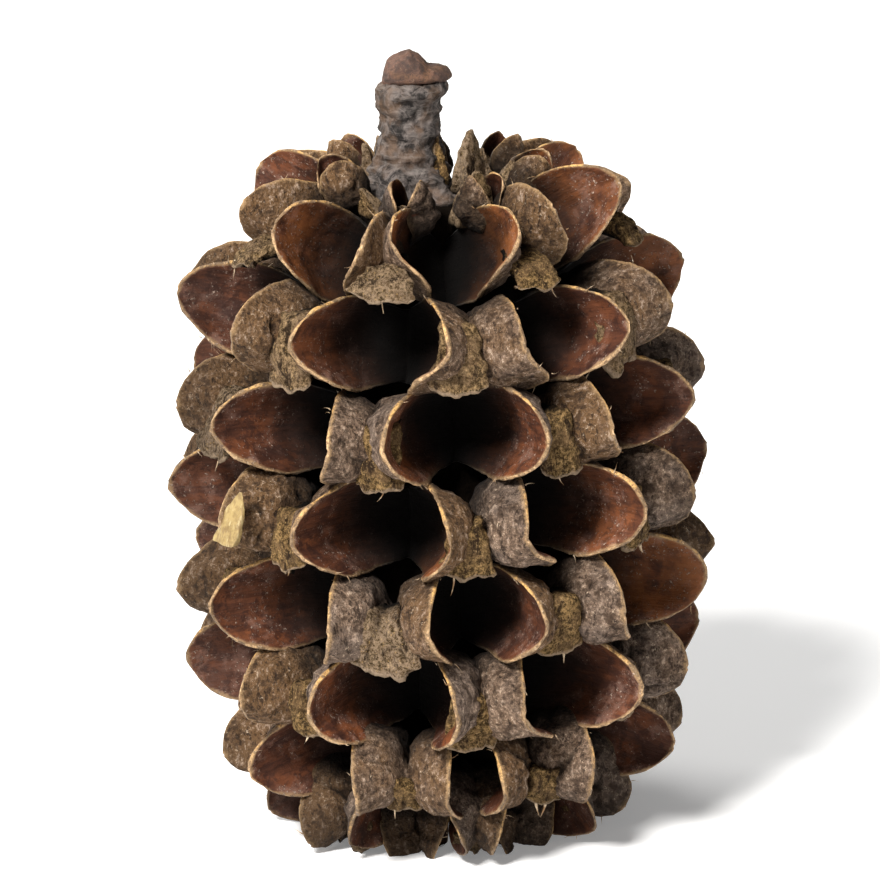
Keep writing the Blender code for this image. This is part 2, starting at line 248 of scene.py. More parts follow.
class Finish:
    """A material that is put together from nodes, with a first colour that others are laid over."""

    def __init__(self, name, colour):
        self.colour = colour
        self.material = bpy.data.materials.new(name)
        self.material.use_nodes = True
        self.shader = self.material.node_tree.nodes["Principled BSDF"]

    def node(self, kind, settings=None, **inputs):
        """Adds a node: its settings first, then its sockets, each from a number, a colour or another socket."""
        node = self.material.node_tree.nodes.new(kind)
        for name, value in (settings or {}).items():
            setattr(node, name, value)
        for name, value in inputs.items():
            self.join(node.inputs[name], value)
        return node

    def join(self, socket, value):
        if isinstance(value, Value):
            value = value.socket
        if isinstance(value, bpy.types.NodeSocket):
            self.material.node_tree.links.new(value, socket)
        else:
            socket.default_value = value

    def sum(self, operation, first, second):
        node = self.node("ShaderNodeMath", {"operation": operation})
        self.join(node.inputs[0], first)
        self.join(node.inputs[1], second)
        return Value(self, node.outputs[0])

    def own(self, *names):
        """The numbers that are stored with the mesh under these names."""
        nodes = [self.node("ShaderNodeAttribute", {"attribute_name": name}) for name in names]
        return [Value(self, node.outputs["Fac"]) for node in nodes]

    def place(self):
        return self.node("ShaderNodeTexCoord").outputs["Object"]

    def fibres(self, length, width, detail=4, roughness=0.6):
        """Streaks along a valve, from its own measures in millimetres, different on each valve."""
        along, across, number = self.own("along", "across", "number")
        place = self.node("ShaderNodeCombineXYZ", X=along * (1 / length), Y=across * (1 / width), Z=number * 7.3)
        return self.noise(1, detail, roughness, vector=place.outputs["Vector"])

    def stretched(self, scale):
        """The place in the model, in millimetres where the scale is 1000, and drawn out where it is less."""
        return self.node("ShaderNodeMapping", Vector=self.place(), Scale=scale).outputs["Vector"]

    def noise(self, size, detail=4, roughness=0.6, distortion=0.0, vector=None):
        """Cloudy pattern with clumps of a size in millimetres, about 0.5 on average."""
        node = self.node(
            "ShaderNodeTexNoise", Vector=vector or self.place(), Scale=1 / (size if vector else size * MM),
            Detail=detail, Roughness=roughness, Distortion=distortion,
        )
        return Value(self, node.outputs["Fac"])

    def grains(self, size):
        """Distance to scattered points that are a size in millimetres apart, and each point's own number."""
        node = self.node("ShaderNodeTexVoronoi", Vector=self.place(), Scale=1 / (size * MM))
        chance = self.node("ShaderNodeSeparateColor", Color=node.outputs["Color"]).outputs["Red"]
        return Value(self, node.outputs["Distance"]), Value(self, chance)

    def coat(self, share, colour):
        """Lays a colour over those so far, by a share from 0 to 1."""
        node = self.node("ShaderNodeMix", {"data_type": "RGBA"})
        for socket, value in zip((0, 6, 7), (share, self.colour, colour)):
            self.join(node.inputs[socket], (*value, 1) if isinstance(value, tuple) else value)
        self.colour = node.outputs[2]

    def wear(self, relief=None, height=0, strength=1.0, **sockets):
        """Gives the shader its colour, a relief of a height in millimetres and the rest. Returns the material."""
        if relief is not None:
            node = self.node("ShaderNodeBump", Height=relief, Distance=height * MM, Strength=strength)
            sockets["Normal"] = node.outputs["Normal"]
        for name, value in {"Base_Color": self.colour, **sockets}.items():
            self.join(self.shader.inputs[name.replace("_", " ")], value)
        return self.material


def times(colour, share):
    return tuple(channel * share for channel in colour)


def lining_finish(colours):
    """Smooth chestnut lining: faint lines along the valve, redder and darker patches, dust and a paler edge, with a
    painted pinkish sheen towards the rim, and painted shade deep in the cup, between the cups and on the lower
    whorls.
    """
    finish = Finish("valve lining", times(colours.lining, 0.55))
    edge, depth, tone, shade, hue = finish.own("edge", "depth", "tone", "shade", "hue")
    lines = finish.fibres(1.3, 0.14, detail=3, roughness=0.75)
    bands = finish.fibres(1.8, 0.5, roughness=0.65)
    cloud = finish.noise(1.2, roughness=0.65)
    stain = finish.noise(0.5, roughness=0.75, distortion=0.25)
    haze = finish.noise(0.8, detail=5, roughness=0.72)
    flecks = finish.noise(0.09, detail=2)
    finish.coat(lines.between(0.36, 0.64), times(colours.lining, 1.2))
    finish.coat(cloud.between(0.46, 0.62) * 0.75, (0.25, 0.078, 0.027))
    finish.coat(hue * 0.45, (0.06, 0.024, 0.016))
    finish.coat(bands.between(0.47, 0.62) * 0.8, (0.04, 0.016, 0.011))
    finish.coat(stain.between(0.5, 0.6) * 0.7, (0.028, 0.012, 0.009))
    # Orange where the tone is high and darker where it is low; the tone's fall down the cone is painted light,
    # lighter on the upper whorls and in shade on the lower ones.
    finish.coat(tone.between(0.55, 1.0) * cloud.between(0.35, 0.6) * 0.8, (0.3, 0.105, 0.032))
    finish.coat((1 - tone) * 0.42, (0.036, 0.015, 0.011))
    # Painted sheen: a pinkish-tan haze, strongest towards the rim.
    finish.coat(haze.between(0.5, 0.66) * (edge * 0.6 + 0.4), (0.26, 0.145, 0.108))
    finish.coat((edge + (haze - 0.5) * 1.6).between(0.62, 1.05) * 0.75, times(colours.rim, 0.6))
    dust = flecks.between(0.6, 0.68) * (haze + tone * 0.1).between(0.5, 0.62)
    finish.coat(dust * 0.85, (0.5, 0.37, 0.29))
    # Painted shade: darker between the cups, low on the cone and to its sides, and near black deep in the cup.
    finish.coat(shade * 0.75, (0.012, 0.0055, 0.0035))
    finish.coat(depth, (0.0012, 0.0007, 0.0005))
    relief = lines * 0.5 + stain * 0.6 + bands * 0.3 + dust * 0.6
    roughness = 0.45 + stain * 0.35 + depth * 0.4
    return finish.wear(relief, 0.09, Roughness=roughness, Specular_IOR_Level=0.14)


def rim_finish(colours):
    """Worn rim: golden, pale and brown stretches, the deepest gold on the upper rims as a painted highlight, with
    painted shade between the cups and deep in them.
    """
    finish = Finish("valve rim", times(colours.rim, 0.4))
    depth, shade, across = finish.own("depth", "shade", "across")
    patches = finish.noise(0.7, roughness=0.7)
    fine = finish.noise(0.12, detail=3, roughness=0.8)
    finish.coat(patches.between(0.4, 0.6), times(colours.rim, 1.1))
    # Painted highlight: deep gold only on the upper rims, which face the light above.
    finish.coat(across.between(0, 1.2) * patches.between(0.42, 0.58) * 0.8, (0.66, 0.37, 0.1))
    finish.coat((1 - fine.between(0.38, 0.56)) * 0.75, (0.085, 0.042, 0.02))
    finish.coat(fine.between(0.58, 0.72) * 0.7, (0.66, 0.5, 0.33))
    # Painted shade: darker between the cups, low on the cone and to its sides, and deep in the cup.
    finish.coat(shade * 0.7, (0.015, 0.008, 0.005))
    finish.coat(depth, (0.003, 0.002, 0.001))
    return finish.wear(fine, 0.08, 0.9, Roughness=0.7)


def bark_finish(colours):
    """Grey-brown bark: ribbed, cracked and grainy, with brown, grey and golden patches."""
    finish = Finish("valve bark", times(colours.bark, 0.42))
    edge, depth, crack, shade, hue = finish.own("edge", "depth", "crack", "shade", "hue")
    wide = finish.noise(1.5, detail=2)
    tint = finish.noise(0.75, detail=3, roughness=0.65)
    ribs = finish.noise(0.24, roughness=0.8, vector=finish.stretched((1000, 1000, 380)))
    fine = finish.noise(0.17, roughness=0.9)
    pits, chance = finish.grains(0.14)
    lumps = finish.noise(0.42, detail=3, roughness=0.7)
    finish.coat(fine.between(0.4, 0.6), times(colours.bark, 1.05))
    finish.coat((hue + tint - 0.5).between(0.3, 0.85) * 0.7, (0.16, 0.08, 0.026))
    finish.coat((1 - (hue + wide - 0.5).between(0.05, 0.3)) * 0.55, (0.175, 0.132, 0.108))
    finish.coat(ribs.between(0.53, 0.66) * lumps.between(0.35, 0.6) * 0.65, (0.6, 0.45, 0.34))
    finish.coat((1 - lumps.between(0.36, 0.5)) * 0.75, (0.042, 0.023, 0.013))
    finish.coat((1 - ribs.between(0.38, 0.46)) * 0.8, (0.02, 0.011, 0.007))
    finish.coat((1 - pits.between(0.1, 0.34)) * (chance > 0.72) * 0.6, (0.024, 0.013, 0.009))
    finish.coat(fine.between(0.57, 0.68) * lumps.between(0.38, 0.58) * 0.8, (0.84, 0.66, 0.48))
    finish.coat(crack.between(0.15, 0.8) * 0.9, (0.012, 0.007, 0.004))
    finish.coat((edge + (fine - 0.5) * 1.5).between(0.5, 1.0) * 0.7, times(colours.rim, 0.9))
    # Painted shade: darker between the cups, low on the cone and to its sides, and deep in the cup.
    finish.coat(shade * 0.85, (0.013, 0.008, 0.005))
    finish.coat(depth, (0.004, 0.0025, 0.002))
    relief = fine * 0.5 + ribs * 0.4 + lumps * 0.8 + pits * 0.15
    return finish.wear(relief, 0.34, Roughness=0.9, Specular_IOR_Level=0.2)


def wool_finish(colours):
    """Felted bract: dark grains on olive wool or on grey-tan bark, with a paler, torn lower edge."""
    finish = Finish("bract wool", times(colours.wool, 0.22))
    edge, depth, tone, shade, crack = finish.own("edge", "depth", "tone", "shade", "crack")
    cloud = finish.noise(0.8, detail=3)
    felt = finish.noise(0.17, roughness=0.9)
    ribs = finish.noise(0.3, roughness=0.75, vector=finish.stretched((1000, 1000, 260)))
    grain, chance = finish.grains(0.12)
    finish.coat(felt.between(0.41, 0.6), times(colours.wool, 1.7))
    finish.coat(cloud.between(0.42, 0.62) * 0.6, (0.12, 0.07, 0.034))
    finish.coat(tone * felt.between(0.4, 0.58) * 0.9, (0.27, 0.2, 0.145))
    finish.coat((1 - ribs.between(0.37, 0.48)) * 0.9, (0.018, 0.01, 0.006))
    finish.coat((1 - grain.between(0.1, 0.36)) * (chance > 0.7) * 0.7, (0.38, 0.24, 0.1))
    finish.coat(crack.between(0.15, 0.8) * 0.9, (0.012, 0.007, 0.004))
    finish.coat(felt.between(0.58, 0.68) * 0.7, (0.56, 0.38, 0.19))
    finish.coat((edge + (felt - 0.5) * 1.6).between(0.45, 1.0) * 0.75, (0.36, 0.265, 0.18))
    # Painted shade: darker between the cups and low on the cone, towards a bract's inner side and towards a scale's
    # foot.
    finish.coat(shade * 0.8, (0.012, 0.008, 0.004))
    finish.coat(depth, (0.004, 0.003, 0.002))
    relief = felt * 0.7 + ribs * 0.6 - grain * 0.15
    return finish.wear(relief, 0.28, Roughness=0.95, Specular_IOR_Level=0.1)


def fibre_finish():
    """Bleached fibre of the bracts' points and of loose threads."""
    finish = Finish("bleached fibre", (0.2, 0.105, 0.04))
    streak = finish.noise(0.3)
    finish.coat(streak.between(0.35, 0.65), (0.58, 0.45, 0.3))
    return finish.wear(streak, 0.03, Roughness=0.7)


def stalk_finish(colours):
    """Weathered grey bark with ring scars, cracks and brown patches."""
    finish = Finish("stalk bark", times(colours.stalk, 0.12))
    rings = finish.noise(0.35, roughness=0.65, vector=finish.stretched((350, 350, 2200)))
    crack = finish.noise(0.5, detail=5, roughness=0.7, distortion=1.2)
    fine = finish.noise(0.14, roughness=0.85)
    wide = finish.noise(1.2, detail=3)
    finish.coat(crack.between(0.4, 0.62), times(colours.stalk, 1.15))
    finish.coat(wide.between(0.48, 0.7) * 0.7, (0.15, 0.09, 0.055))
    finish.coat(rings.between(0.52, 0.7) * 0.5, (0.22, 0.19, 0.17))
    finish.coat(fine.between(0.6, 0.78) * 0.6, (0.42, 0.38, 0.34))
    finish.coat((1 - fine.between(0.26, 0.42)) * 0.8, (0.025, 0.02, 0.018))
    relief = crack * 0.5 + fine * 0.3 + rings * 0.4
    return finish.wear(relief, 0.2, 0.9, Roughness=0.85, Specular_IOR_Level=0.25)


def break_finish():
    """Red-brown wood where the stalk broke off its twig."""
    finish = Finish("broken wood", (0.045, 0.022, 0.015))
    cloud = finish.noise(0.6, detail=5, distortion=0.8)
    fine = finish.noise(0.11, roughness=0.7)
    finish.coat(cloud.between(0.38, 0.64), (0.125, 0.06, 0.037))
    finish.coat(finish.noise(0.9, detail=2).between(0.5, 0.62) * 0.45, (0.17, 0.08, 0.032))
    finish.coat(fine.between(0.58, 0.76) * 0.6, (0.34, 0.22, 0.14))
    finish.coat((1 - fine.between(0.34, 0.5)) * 0.8, (0.025, 0.015, 0.01))
    return finish.wear(cloud * 0.5 + fine * 0.5, 0.14, Roughness=0.75)


def core_finish():
    """The woody axis behind the cups, coloured near black as painted shade."""
    finish = Finish("core wood", (0.001, 0.0007, 0.0005))
    cloud = finish.noise(0.5, detail=5)
    finish.coat(cloud, (0.008, 0.005, 0.003))
    return finish.wear(cloud, 0.2, Roughness=0.95, Specular_IOR_Level=0.05)


def wing_finish():
    """Papery yellow skin with faint veins."""
    finish = Finish("seed wing", (0.19, 0.12, 0.042))
    cloud = finish.noise(0.5, detail=3)
    veins = finish.noise(0.14, detail=3, vector=finish.stretched((1000, 1000, 250)))
    finish.coat(cloud.between(0.38, 0.62), (0.34, 0.245, 0.095))
    finish.coat(veins.between(0.54, 0.68) * 0.7, (0.46, 0.37, 0.19))
    finish.coat((1 - veins.between(0.34, 0.46)) * 0.6, (0.16, 0.095, 0.036))
    return finish.wear(veins, 0.05, Roughness=0.55)


def deselect():
    """Lets go of everything, as an operator acts on all that is selected."""
    bpy.ops.object.select_all(action="DESELECT")


def activate(obj):
    deselect()
    obj.select_set(True)
    bpy.context.view_layer.objects.active = obj


def points_of(obj):
    points = np.empty(len(obj.data.vertices) * 3, np.float32)
    obj.data.vertices.foreach_get("co", points)
    return points.reshape(-1, 3).astype(float)


def move_points(obj, points):
    obj.data.vertices.foreach_set("co", points.astype(np.float32).ravel())
    obj.data.update()


def store(obj, **measures):
    """Keeps a number for each point of the mesh under each name, for its finish to read."""
    for name, values in measures.items():
        attribute = obj.data.attributes.new(name, "FLOAT", "POINT")
        attribute.data.foreach_set("value", (np.ones(len(obj.data.vertices)) * values).astype(np.float32))


def kept(obj, name):
    """The numbers that store() kept."""
    values = np.empty(len(obj.data.vertices), np.float32)
    obj.data.attributes[name].data.foreach_get("value", values)
    return values.astype(float)


def copy_of(blank, name):
    obj = blank.copy()
    obj.data = blank.data.copy()
    obj.name = name
    bpy.context.scene.collection.objects.link(obj)
    return obj


def joined(objects, name):
    """One object of several."""
    deselect()
    for obj in objects:
        obj.select_set(True)
    bpy.context.view_layer.objects.active = objects[0]
    bpy.ops.object.join()
    obj = bpy.context.view_layer.objects.active
    obj.name = name
    return obj


def finish_with(obj, kind, **settings):
    """Adds a modifier and applies it."""
    modifier = obj.modifiers.new(kind.title(), kind)
    for name, value in settings.items():
        setattr(modifier, name, value)
    activate(obj)
    bpy.ops.object.modifier_apply(modifier=modifier.name)


def roughen(obj, size, height, group="", layers=2):
    """Pushes the points in or out along the surface, in clumps of a size in millimetres."""
    texture = bpy.data.textures.new("relief", "CLOUDS")
    texture.noise_scale = size * MM
    texture.noise_depth = layers
    finish_with(obj, "DISPLACE", texture=texture, strength=height * MM, vertex_group=group)


def round_off(obj):
    finish_with(obj, "SUBSURF", levels=1)


def rest_on_floor(obj):
    """Flattens what would reach under the surface that the cone stands on."""
    points = points_of(obj)
    points[:, 2] = np.maximum(points[:, 2], 0)
    move_points(obj, points)


def keep(obj, node, materials=()):
    """Hands a finished piece over: it rides on the cone and stands for one of its solids."""
    for material in materials:
        obj.data.materials.append(material)
    activate(obj)
    bpy.ops.object.shade_smooth()
    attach(obj, "root")
    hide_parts(node)


def smooth(values, low, high):
    share = np.clip((values - low) / (high - low), 0, 1)
    return share * share * (3 - 2 * share)


def wavy(values, seed, size=1.0):
    """A smooth random line through the values, from about -1 to 1."""
    return np.array([noise.noise((value / size, seed * 7.31, seed * 3.17)) for value in values])


def cloudy(across, along, seed):
    """Smooth random numbers from -1 to 1 over a plane, in clumps about one unit wide."""
    table = np.random.default_rng(seed).uniform(-1, 1, (48, 48))
    i, j = np.floor(across).astype(int), np.floor(along).astype(int)
    s, t = smooth(across - i, 0, 1), smooth(along - j, 0, 1)
    near = table[i % 48, j % 48] * (1 - s) + table[(i + 1) % 48, j % 48] * s
    far = table[i % 48, (j + 1) % 48] * (1 - s) + table[(i + 1) % 48, (j + 1) % 48] * s
    return near * (1 - t) + far * t


def store_shade(obj):
    """Notes how deep between the cups, how low or how far out to a side each point lies: painted shade, which darkens
    the cone there.
    """
    x, y, z = points_of(obj).T / MM
    heights, reaches = zip(*sorted((whorl.height, whorl.reach) for whorl in WHORLS))
    sunk = 1 - smooth(np.hypot(x, y) / np.interp(z, heights, reaches), 0.60, 0.90)
    low = 1 - smooth(z, 0.2, 4.2)
    flanks = np.maximum(smooth(-x, 5.8, 8.4) * 0.58, smooth(x, 5.6, 8.4) * 0.6)
    store(obj, shade=np.maximum(np.maximum(sunk * 0.9, low * 0.85), flanks))


def column_angle(column):
    """Azimuth of a column of cups, from the front towards +X."""
    return FIRST_COLUMN + column * HALF_STEP + math.radians(COLUMN_DRIFT.get(column, 0))


def directions(angle):
    """Sideways and outwards at an azimuth."""
    return np.array((math.cos(angle), math.sin(angle), 0)), np.array((math.sin(angle), -math.cos(angle), 0))


class Cup:
    """The place of one seed cup: its middle plane, its axis and where its valve tips reach."""

    def __init__(self, number, column, whorl, rise, openings, chance):
        self.number = number
        self.column = column
        self.size = whorl.size
        self.openings = openings
        self.chance = chance
        self.sideways, self.radial = directions(column_angle(column))
        up = np.array((0, 0, 1))
        self.outwards = self.radial * math.cos(rise) + up * math.sin(rise)
        self.upwards = self.radial * -math.sin(rise) + up * math.cos(rise)
        tip_side = (HINGE_OFFSET + (FLARE_START + FLARE_END) * whorl.opening) * whorl.size
        self.tip_distance = math.sqrt(whorl.reach**2 - tip_side**2) / math.cos(rise)
        self.foot = up * (whorl.height - self.tip_distance * math.sin(rise))
        self.tip_distance += COLUMN_REACH.get(column, 0)

    def place(self, side, out, up):
        """World points, in metres, of points given sideways, out from the foot and up, in mm."""
        steps = ((side, self.sideways), (out, self.outwards), (up, self.upwards))
        return (self.foot + sum(np.multiply.outer(step, way) for step, way in steps)) * MM


def grown_cups():
    """Every cup of the cone, each a little different, in a seeded order."""
    dice = random.Random(SEED)
    looks = random.Random(SEED + 1)
    cups = []
    for number, whorl in enumerate(WHORLS):
        first = 0 if number % 2 else 1
        for turn in range(CUPS_IN_WHORL):
            column = first + 2 * turn
            rise = math.radians(whorl.rise) + dice.uniform(-RISE_SPREAD, RISE_SPREAD)
            tip = whorl.height + LIFTS.get((number, column), 0) + dice.uniform(-TIP_SPREAD, TIP_SPREAD)
            openings = {}
            for hand in (-1, 1):
                share = ODD_VALVES.get((number, column, hand), 1 if number else 0.5)
                openings[hand] = whorl.opening * share * (1 + dice.uniform(-OPENING_SPREAD, OPENING_SPREAD))
            cups.append(Cup(number, column, whorl._replace(height=tip), rise, openings, looks.random()))
    return cups


def valve_points(sizes, cup, x, y):
    """The inner face of a cup's two valves, and how near its rim and how deep in the cup each point is.

    x runs from the left valve's tip, -1, over the floor of the cup to the right one's, 1, and y from rim to rim.
    """
    hand = np.where(x < 0, -1.0, 1.0)
    opening = np.where(x < 0, cup.openings[-1], cup.openings[1])
    out = np.abs(x)
    along = np.sqrt(FLOOR_ALONG**2 + (1 - FLOOR_ALONG**2) * out**2)
    length = sizes.length / MM
    flare = FLARE_START * along + FLARE_END * along**2
    slope = opening * (FLARE_START + 2 * FLARE_END * along) / length
    run = np.hypot(1, slope)
    seed = cup.number * 31 + cup.column
    edge_wave = 0.07 * wavy(x * 3.0 + y * 0.6, seed) + 0.04 * wavy(x * 9.0 + y, seed + 5)
    edge_wave = edge_wave + 0.025 * wavy(x * 23.0 + y, seed + 6)
    bulge = sizes.bulge / MM * (1 - np.abs(y) ** 2.4) * (1 - along**3) * (0.45 + 0.55 * smooth(along, 0.1, 0.5))
    root = np.where(y > 0, 0.62, 0.84)
    height = sizes.half_height / MM * (root + (1 - root) * smooth(along, 0.1, 0.6))
    height = height * np.maximum((1 - along**4.0) ** (0.40 + 0.24 * cup.chance), 0.04) * (1 + edge_wave)
    left, right = (LIPS.get((cup.number, cup.column, side), USUAL_LIP) for side in (-1, 1))
    lip = np.where(x < 0, left, right) * smooth(-y, 0.25, 1)
    lip = lip * smooth(along, 0.35, 0.75) * (1 - smooth(along, 0.85, 1))
    side = (HINGE_OFFSET + opening * flare + bulge / run - lip) * smooth(out, 0, 0.34)
    back = length * (along - 1) - bulge * slope / run
    tip_wave = 0.12 * wavy(hand * 5.0 + y * 0.3, seed + 9) * smooth(along, 0.6, 1)
    up = height * y + tip_wave
    world = cup.place(side * hand * cup.size, cup.tip_distance + back * cup.size, up * cup.size)
    to_rim = np.minimum((1 - np.abs(y)) * height, (1 - along) * length * 0.8) * cup.size
    # Painted shade: near black towards the floor of the cup, reaching further out on its upper half, away from the
    # light above.
    depth = 1 - smooth(along - 0.07 * y, 0.22, 0.68)
    return world, to_rim, depth, hand * (along * length), up


def grow_valves(sizes, blank, cup):
    """One cup: the blank grid bent to a trough that ends in a valve on each hand."""
    obj = copy_of(blank, f"cup_{cup.number}_{cup.column}")
    flat = points_of(blank)
    world, to_rim, depth, along, up = valve_points(sizes, cup, flat[:, 0], flat[:, 1])
    move_points(obj, world)
    # The tone differs at random from valve to valve and also falls whorl by whorl down the cone; that fall is painted
    # light, the upper whorls lighter and the lower ones in shade.
    tones = wavy(np.sign(flat[:, 0]) * 3.1, cup.number * 17 + cup.column * 5) * 0.9 + 0.62 - 0.055 * cup.number
    tones = tones + 0.3 * ((cup.number, cup.column) in BRIGHT_CUPS)
    hue = np.where(flat[:, 0] < 0, cup.chance, cup.chance * 7.3 % 1)
    # The top whorl stands so tight that thick backs would break through its neighbours' linings
    tight, relief = (0.3 if cup.column else 0.55, 0.1) if cup.number == 1 else (1, 1)
    store(
        obj, edge=1 - np.clip(to_rim / 0.26, 0, 1), depth=depth, along=along, across=up,
        number=cup.number * COLUMNS + cup.column, tone=np.clip(tones, 0, 1),
        hue=np.maximum(hue, 0.85) if cup.column in BROWN_COLUMNS else hue, thick=smooth(to_rim, 0, 0.95) * relief,
    )
    rim_share = sizes.rim / sizes.wall
    weights = rim_share + (1 - rim_share) * smooth(to_rim, 0, 0.95) * (0.45 + 0.55 * smooth(np.abs(along), 0.8, 2.4))
    group = obj.vertex_groups.new(name="wall")
    for index, weight in enumerate(weights):
        group.add([index], float(max(weight * tight, rim_share)) * cup.size, "REPLACE")
    return obj


def grown_whorls(grow, sizes, blank, name, first):
    """Like pieces, one on each cup, joined whorl by whorl from the first on."""
    cups = grown_cups()
    for number in range(first, len(WHORLS)):
        yield joined([grow(sizes, blank, cup) for cup in cups if cup.number == number], f"{name}_{number}")


def add_grid_blank(columns, rows):
    """A flat grid from -1 to 1, whose faces look along +Z."""
    deselect()
    bpy.ops.mesh.primitive_grid_add(x_subdivisions=columns, y_subdivisions=rows, size=2)
    return bpy.context.object


def subdivided(cuts):
    """The shape that was just added, with every face cut into small ones."""
    bpy.ops.object.mode_set(mode="EDIT")
    bpy.ops.mesh.select_all(action="SELECT")
    bpy.ops.mesh.subdivide(number_cuts=cuts)
    bpy.ops.object.mode_set(mode="OBJECT")
    return bpy.context.object


def add_block_blank(cuts):
    """A cube from -1 to 1."""
    deselect()
    bpy.ops.mesh.primitive_cube_add(size=2)
    return subdivided(cuts)


def remove(obj):
    bpy.data.objects.remove(obj, do_unlink=True)


def wrinkle(obj, weights=1.0):
    """Ribs and cracks that run up and down a rough face."""
    normals = np.empty(len(obj.data.vertices) * 3, np.float32)
    obj.data.vertex_normals.foreach_get("vector", normals)
    number = np.round(kept(obj, "number"))
    along = kept(obj, "along") + number * 5.3
    across = kept(obj, "across") + number * 3.1
    bent = along + 0.25 * cloudy(along, across / 0.9, 11)
    ribs = cloudy(bent / 0.42, across / 1.9, 12)
    lumps = cloudy(along / 0.30, across / 0.34, 13)
    crack = np.clip(1 - np.abs(cloudy(bent / 0.62, across / 1.5, 14)) * 6, 0, 1)
    crack = crack * smooth(cloudy(along, across, 15), -0.3, 0.3)
    move = (0.13 * ribs + 0.07 * lumps - 0.20 * crack) * weights
    move_points(obj, points_of(obj) + normals.reshape(-1, 3) * (move * MM)[:, None])
    store(obj, crack=crack * weights)


def spare_rims(obj):
    """Lets the relief of the backs fade towards the thin rims, so that it doesn't break through the linings."""
    back = obj.vertex_groups["back"]
    thick = kept(obj, "thick")
    for vertex in obj.data.vertices:
        if any(group.group == back.index for group in vertex.groups):
            back.add([vertex.index], float(0.15 + 0.85 * thick[vertex.index]), "REPLACE")


class CONE_OT_valves(bpy.types.Operator):
    """Grows the valves of every whorl: thin shells with smooth linings, worn rims and rough backs"""

    bl_idname = "cone.valves"
    bl_label = "Valves"

    def execute(self, context):
        sizes = context.scene.cone_cups
        colours = context.scene.cone_colours
        finishes = [lining_finish(colours), rim_finish(colours), bark_finish(colours)]
        blank = add_grid_blank(36, 14)
        for whorl in grown_whorls(grow_valves, sizes, blank, "valves", 0):
            for material in finishes:
                whorl.data.materials.append(material)
            whorl.vertex_groups.new(name="back")
            finish_with(
                whorl, "SOLIDIFY", thickness=sizes.wall, offset=-1, vertex_group="wall", shell_vertex_group="back",
                material_offset=2, material_offset_rim=1,
            )
            spare_rims(whorl)
            round_off(whorl)
            roughen(whorl, 1.2, 0.45, "back", layers=3)
            roughen(whorl, 0.35, 0.22, "back")
            roughen(whorl, 0.9, 0.12)
            roughen(whorl, 0.3, 0.07)
            back = whorl.vertex_groups["back"].index
            wrinkle(whorl, np.array([
                sum(group.weight for group in vertex.groups if group.group == back) for vertex in whorl.data.vertices
            ]))
            rest_on_floor(whorl)
            store_shade(whorl)
            keep(whorl, "cone")
        remove(blank)
        return {"FINISHED"}


def grow_bract(sizes, blank, cup):
    """One bract: a felted block from over the cup's mouth up between the two cups above, torn at its lower edge."""
    obj = copy_of(blank, f"bract_{cup.number}_{cup.column}")
    x, y, z = points_of(blank).T
    seed = cup.number * 13 + cup.column * 3
    above = WHORLS[cup.number - 1]
    apron = APRONS.get((cup.number, cup.column), 0.10)
    lower = cup.foot + cup.outwards * (cup.tip_distance - 0.8 * cup.size) + cup.upwards * 1.72 * cup.size
    top_height, top_front = above.height + 0.5 * above.size, above.reach - 1.2 * above.size
    if cup.number == 2:
        top_height, top_front = above.height - 1.1, above.reach - 0.3
    rise = (z + 1) / 2
    low = 1 - rise
    torn = (0.26 * wavy(x * 2.2, seed + 2) + 0.16 * wavy(x * 7, seed + 4) - 0.3 * (apron + 0.5) * (1 - x**2)) * low**2
    height = lower[2] + (top_height - lower[2]) * rise + torn
    front = np.dot(lower, cup.radial) * low + top_front * rise
    front = front + 0.15 * np.sin(rise * math.pi) - 0.3 * np.abs(x) ** 3 * (1 - apron) + 0.25 * apron * low
    inwards = (y + 1) / 2
    radius = front - inwards * (0.45 + (sizes.bract_depth / MM - 0.45) * smooth(rise, 0.05, 0.5)) * cup.size
    half = sizes.bract_width / MM / 2 * (0.95 + 0.4 * cup.chance)
    half = half * (1 + apron * low**1.3) * (1 + 0.14 * wavy(z * 2.5, seed))
    side = x * half * (1 - 0.25 * rise) * (1 - 0.5 * inwards) * cup.size + 0.12 * wavy(z * 1.5, seed + 8)
    points = np.multiply.outer(side, cup.sideways) + np.multiply.outer(radius, cup.radial)
    points[:, 2] = height
    move_points(obj, points * MM)
    # depth is painted shade: the bract grows darker towards its inner side, between the cups.
    store(
        obj, edge=smooth(low, 0.86, 1.0) * (1 - smooth(y, -0.6, 0.6)), depth=smooth(y, -0.6, 0.4),
        tone=min(1, apron * 0.9 + 0.4 * (cup.chance > 0.75)), along=side, across=height, number=seed,
    )
    return obj


class CONE_OT_bracts(bpy.types.Operator):
    """Grows the woolly bracts over the mouths of the cups"""

    bl_idname = "cone.bracts"
    bl_label = "Bracts"

    def execute(self, context):
        sizes = context.scene.cone_cups
        wool = wool_finish(context.scene.cone_colours)
        blank = add_block_blank(7)
        for whorl in grown_whorls(grow_bract, sizes, blank, "bracts", 2):
            round_off(whorl)
            roughen(whorl, 0.8, 0.30, layers=3)
            roughen(whorl, 0.28, 0.20)
            wrinkle(whorl, 0.6)
            rest_on_floor(whorl)
            store_shade(whorl)
            keep(whorl, "cone", [wool])
        remove(blank)
        return {"FINISHED"}


def add_thread_blank(sides, cuts):
    """A closed spike from its foot at z = -1 to its point at z = 1."""
    deselect()
    bpy.ops.mesh.primitive_cone_add(vertices=sides, radius1=1, radius2=0.05, depth=2, end_fill_type="TRIFAN")
    return subdivided(cuts)


def grow_thread(blank, name, foot, way, bend, thick):
    """A thread from its foot along a way, both in mm, and bent towards its point."""
    obj = copy_of(blank, name)
    x, y, z = points_of(blank).T
    along = (z + 1) / 2
    ahead = way / np.linalg.norm(way)
    across = np.cross(ahead, (0.3, 0.5, 0.81))
    across = across / np.linalg.norm(across)
    points = foot + np.multiply.outer(along, way) + np.multiply.outer(along**2, bend)
    points = points + np.multiply.outer(x * thick, across) + np.multiply.outer(y * thick, np.cross(ahead, across))
    move_points(obj, points * MM)
    return obj


